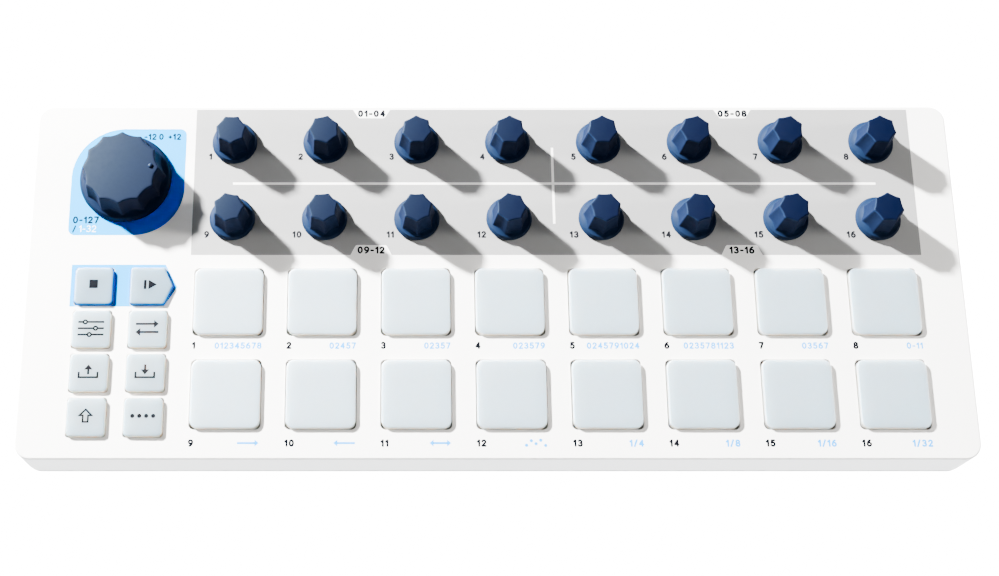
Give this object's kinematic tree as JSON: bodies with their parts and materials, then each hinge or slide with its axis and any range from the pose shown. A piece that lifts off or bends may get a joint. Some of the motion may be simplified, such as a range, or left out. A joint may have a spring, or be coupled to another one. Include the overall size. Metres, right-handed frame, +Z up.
{
  "type": "step sequencer",
  "caption": "Low rectangular desktop step sequencer with rows of faceted encoder knobs above rows of square pads, a large scalloped dial, small push buttons and rear sockets.",
  "frame": {"origin": "under the middle of the case, on the plane of the rubber feet", "axes": "+X to the right as the player sees it, +Y to the rear (the socket side), +Z up"},
  "size_m": [0.3066, 0.1216, 0.031],
  "materials": {
    "shell_white": "fine satin moulded ABS, white",
    "base_paint": "powder coat, dark grey",
    "board_green": "glass-epoxy board with solder mask",
    "encoder_body": "moulded black plastic",
    "bush_brass": "turned brass",
    "frame_black": "moulded black plastic",
    "film_amber": "polyimide film",
    "led_lens": "cast clear resin",
    "chip_black": "moulded chip package",
    "screw_zinc": "zinc-plated steel",
    "screw_black": "blackened steel",
    "foot_rubber": "moulded rubber",
    "socket_steel": "tin-plated steel",
    "jack_black": "moulded black plastic",
    "knob_navy": "soft-touch moulded plastic, dark navy",
    "pad_frost": "translucent bluish-white silicone, satin",
    "button_frost": "translucent moulded plastic, satin"
  },
  "bodies": {
    "case": {"top_shell": "shell_white", "base_plate": "base_paint", "main_board": "board_green", "step_encoders": "encoder_body", "dial_encoder": "encoder_body", "encoder_bushes": "bush_brass", "light_frame": "frame_black", "pad_sensor_sheet": "film_amber", "pad_leds": "led_lens", "button_switches": "encoder_body", "button_leds": "led_lens", "board_chips": "chip_black", "board_screws": "screw_zinc", "base_screws": "screw_black", "rubber_feet": "foot_rubber", "usb_socket": "socket_steel", "jack_sockets": "jack_black", "lock_plate": "socket_steel"},
    "knob_01": {"knob_01": "knob_navy"},
    "knob_02": {"knob_02": "knob_navy"},
    "knob_03": {"knob_03": "knob_navy"},
    "knob_04": {"knob_04": "knob_navy"},
    "knob_05": {"knob_05": "knob_navy"},
    "knob_06": {"knob_06": "knob_navy"},
    "knob_07": {"knob_07": "knob_navy"},
    "knob_08": {"knob_08": "knob_navy"},
    "knob_09": {"knob_09": "knob_navy"},
    "knob_10": {"knob_10": "knob_navy"},
    "knob_11": {"knob_11": "knob_navy"},
    "knob_12": {"knob_12": "knob_navy"},
    "knob_13": {"knob_13": "knob_navy"},
    "knob_14": {"knob_14": "knob_navy"},
    "knob_15": {"knob_15": "knob_navy"},
    "knob_16": {"knob_16": "knob_navy"},
    "main_dial": {"main_dial": "knob_navy"},
    "pad_01": {"pad_01": "pad_frost"},
    "pad_02": {"pad_02": "pad_frost"},
    "pad_03": {"pad_03": "pad_frost"},
    "pad_04": {"pad_04": "pad_frost"},
    "pad_05": {"pad_05": "pad_frost"},
    "pad_06": {"pad_06": "pad_frost"},
    "pad_07": {"pad_07": "pad_frost"},
    "pad_08": {"pad_08": "pad_frost"},
    "pad_09": {"pad_09": "pad_frost"},
    "pad_10": {"pad_10": "pad_frost"},
    "pad_11": {"pad_11": "pad_frost"},
    "pad_12": {"pad_12": "pad_frost"},
    "pad_13": {"pad_13": "pad_frost"},
    "pad_14": {"pad_14": "pad_frost"},
    "pad_15": {"pad_15": "pad_frost"},
    "pad_16": {"pad_16": "pad_frost"},
    "stop_button": {"stop_button": "button_frost"},
    "play_button": {"play_button": "button_frost"},
    "mode_button_1": {"mode_button_1": "button_frost"},
    "mode_button_2": {"mode_button_2": "button_frost"},
    "mode_button_3": {"mode_button_3": "button_frost"},
    "mode_button_4": {"mode_button_4": "button_frost"},
    "mode_button_5": {"mode_button_5": "button_frost"},
    "mode_button_6": {"mode_button_6": "button_frost"}
  },
  "joints": [
    {"name": "knob_01_turn", "type": "hinge", "parent": "case", "child": "knob_01", "pos_m": [-0.086, 0.0466, 0.03], "axis": [0, 0, 1], "continuous": true},
    {"name": "knob_02_turn", "type": "hinge", "parent": "case", "child": "knob_02", "pos_m": [-0.05564, 0.0466, 0.03], "axis": [0, 0, 1], "continuous": true},
    {"name": "knob_03_turn", "type": "hinge", "parent": "case", "child": "knob_03", "pos_m": [-0.02528, 0.0466, 0.03], "axis": [0, 0, 1], "continuous": true},
    {"name": "knob_04_turn", "type": "hinge", "parent": "case", "child": "knob_04", "pos_m": [0.00508, 0.0466, 0.03], "axis": [0, 0, 1], "continuous": true},
    {"name": "knob_05_turn", "type": "hinge", "parent": "case", "child": "knob_05", "pos_m": [0.03544, 0.0466, 0.03], "axis": [0, 0, 1], "continuous": true},
    {"name": "knob_06_turn", "type": "hinge", "parent": "case", "child": "knob_06", "pos_m": [0.0658, 0.0466, 0.03], "axis": [0, 0, 1], "continuous": true},
    {"name": "knob_07_turn", "type": "hinge", "parent": "case", "child": "knob_07", "pos_m": [0.09616, 0.0466, 0.03], "axis": [0, 0, 1], "continuous": true},
    {"name": "knob_08_turn", "type": "hinge", "parent": "case", "child": "knob_08", "pos_m": [0.12652, 0.0466, 0.03], "axis": [0, 0, 1], "continuous": true},
    {"name": "knob_09_turn", "type": "hinge", "parent": "case", "child": "knob_09", "pos_m": [-0.086, 0.0197, 0.03], "axis": [0, 0, 1], "continuous": true},
    {"name": "knob_10_turn", "type": "hinge", "parent": "case", "child": "knob_10", "pos_m": [-0.05564, 0.0197, 0.03], "axis": [0, 0, 1], "continuous": true},
    {"name": "knob_11_turn", "type": "hinge", "parent": "case", "child": "knob_11", "pos_m": [-0.02528, 0.0197, 0.03], "axis": [0, 0, 1], "continuous": true},
    {"name": "knob_12_turn", "type": "hinge", "parent": "case", "child": "knob_12", "pos_m": [0.00508, 0.0197, 0.03], "axis": [0, 0, 1], "continuous": true},
    {"name": "knob_13_turn", "type": "hinge", "parent": "case", "child": "knob_13", "pos_m": [0.03544, 0.0197, 0.03], "axis": [0, 0, 1], "continuous": true},
    {"name": "knob_14_turn", "type": "hinge", "parent": "case", "child": "knob_14", "pos_m": [0.0658, 0.0197, 0.03], "axis": [0, 0, 1], "continuous": true},
    {"name": "knob_15_turn", "type": "hinge", "parent": "case", "child": "knob_15", "pos_m": [0.09616, 0.0197, 0.03], "axis": [0, 0, 1], "continuous": true},
    {"name": "knob_16_turn", "type": "hinge", "parent": "case", "child": "knob_16", "pos_m": [0.12652, 0.0197, 0.03], "axis": [0, 0, 1], "continuous": true},
    {"name": "main_dial_turn", "type": "hinge", "parent": "case", "child": "main_dial", "pos_m": [-0.1218, 0.0338, 0.03], "axis": [0, 0, 1], "continuous": true},
    {"name": "pad_01_press", "type": "slide", "parent": "case", "child": "pad_01", "axis": [0, 0, -1], "range_m": [0, 0.001], "stiffness_N_per_m": 1500, "springref_m": -0.0003},
    {"name": "pad_02_press", "type": "slide", "parent": "case", "child": "pad_02", "axis": [0, 0, -1], "range_m": [0, 0.001], "stiffness_N_per_m": 1500, "springref_m": -0.0003},
    {"name": "pad_03_press", "type": "slide", "parent": "case", "child": "pad_03", "axis": [0, 0, -1], "range_m": [0, 0.001], "stiffness_N_per_m": 1500, "springref_m": -0.0003},
    {"name": "pad_04_press", "type": "slide", "parent": "case", "child": "pad_04", "axis": [0, 0, -1], "range_m": [0, 0.001], "stiffness_N_per_m": 1500, "springref_m": -0.0003},
    {"name": "pad_05_press", "type": "slide", "parent": "case", "child": "pad_05", "axis": [0, 0, -1], "range_m": [0, 0.001], "stiffness_N_per_m": 1500, "springref_m": -0.0003},
    {"name": "pad_06_press", "type": "slide", "parent": "case", "child": "pad_06", "axis": [0, 0, -1], "range_m": [0, 0.001], "stiffness_N_per_m": 1500, "springref_m": -0.0003},
    {"name": "pad_07_press", "type": "slide", "parent": "case", "child": "pad_07", "axis": [0, 0, -1], "range_m": [0, 0.001], "stiffness_N_per_m": 1500, "springref_m": -0.0003},
    {"name": "pad_08_press", "type": "slide", "parent": "case", "child": "pad_08", "axis": [0, 0, -1], "range_m": [0, 0.001], "stiffness_N_per_m": 1500, "springref_m": -0.0003},
    {"name": "pad_09_press", "type": "slide", "parent": "case", "child": "pad_09", "axis": [0, 0, -1], "range_m": [0, 0.001], "stiffness_N_per_m": 1500, "springref_m": -0.0003},
    {"name": "pad_10_press", "type": "slide", "parent": "case", "child": "pad_10", "axis": [0, 0, -1], "range_m": [0, 0.001], "stiffness_N_per_m": 1500, "springref_m": -0.0003},
    {"name": "pad_11_press", "type": "slide", "parent": "case", "child": "pad_11", "axis": [0, 0, -1], "range_m": [0, 0.001], "stiffness_N_per_m": 1500, "springref_m": -0.0003},
    {"name": "pad_12_press", "type": "slide", "parent": "case", "child": "pad_12", "axis": [0, 0, -1], "range_m": [0, 0.001], "stiffness_N_per_m": 1500, "springref_m": -0.0003},
    {"name": "pad_13_press", "type": "slide", "parent": "case", "child": "pad_13", "axis": [0, 0, -1], "range_m": [0, 0.001], "stiffness_N_per_m": 1500, "springref_m": -0.0003},
    {"name": "pad_14_press", "type": "slide", "parent": "case", "child": "pad_14", "axis": [0, 0, -1], "range_m": [0, 0.001], "stiffness_N_per_m": 1500, "springref_m": -0.0003},
    {"name": "pad_15_press", "type": "slide", "parent": "case", "child": "pad_15", "axis": [0, 0, -1], "range_m": [0, 0.001], "stiffness_N_per_m": 1500, "springref_m": -0.0003},
    {"name": "pad_16_press", "type": "slide", "parent": "case", "child": "pad_16", "axis": [0, 0, -1], "range_m": [0, 0.001], "stiffness_N_per_m": 1500, "springref_m": -0.0003},
    {"name": "stop_press", "type": "slide", "parent": "case", "child": "stop_button", "axis": [0, 0, -1], "range_m": [0, 0.0008], "stiffness_N_per_m": 1200, "springref_m": -0.0003},
    {"name": "play_press", "type": "slide", "parent": "case", "child": "play_button", "axis": [0, 0, -1], "range_m": [0, 0.0008], "stiffness_N_per_m": 1200, "springref_m": -0.0003},
    {"name": "mode_1_press", "type": "slide", "parent": "case", "child": "mode_button_1", "axis": [0, 0, -1], "range_m": [0, 0.0008], "stiffness_N_per_m": 1200, "springref_m": -0.0003},
    {"name": "mode_2_press", "type": "slide", "parent": "case", "child": "mode_button_2", "axis": [0, 0, -1], "range_m": [0, 0.0008], "stiffness_N_per_m": 1200, "springref_m": -0.0003},
    {"name": "mode_3_press", "type": "slide", "parent": "case", "child": "mode_button_3", "axis": [0, 0, -1], "range_m": [0, 0.0008], "stiffness_N_per_m": 1200, "springref_m": -0.0003},
    {"name": "mode_4_press", "type": "slide", "parent": "case", "child": "mode_button_4", "axis": [0, 0, -1], "range_m": [0, 0.0008], "stiffness_N_per_m": 1200, "springref_m": -0.0003},
    {"name": "mode_5_press", "type": "slide", "parent": "case", "child": "mode_button_5", "axis": [0, 0, -1], "range_m": [0, 0.0008], "stiffness_N_per_m": 1200, "springref_m": -0.0003},
    {"name": "mode_6_press", "type": "slide", "parent": "case", "child": "mode_button_6", "axis": [0, 0, -1], "range_m": [0, 0.0008], "stiffness_N_per_m": 1200, "springref_m": -0.0003}
  ]
}
